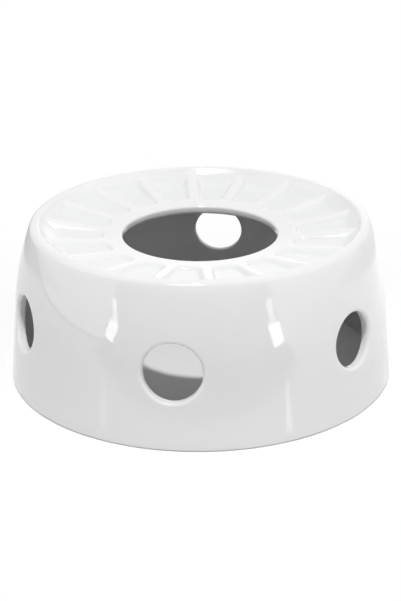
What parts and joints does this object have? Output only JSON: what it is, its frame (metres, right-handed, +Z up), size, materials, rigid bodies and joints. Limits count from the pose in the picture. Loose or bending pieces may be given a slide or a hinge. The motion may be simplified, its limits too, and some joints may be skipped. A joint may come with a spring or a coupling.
{
  "type": "teapot warmer",
  "caption": "Round glazed porcelain stand with a dished, fluted top, an open mouth and air vents in its flared skirt: a tea light under it keeps a teapot warm.",
  "frame": {"origin": "centre of the foot ring, on the table", "axes": "+Z up along the axis of the round body; one air vent faces -Y"},
  "size_m": [0.1508, 0.1508, 0.0622],
  "materials": {
    "glazed_porcelain": "glossy clear glaze over white porcelain"
  },
  "bodies": {
    "root": {"warmer_body": "glazed_porcelain"}
  },
  "joints": []
}
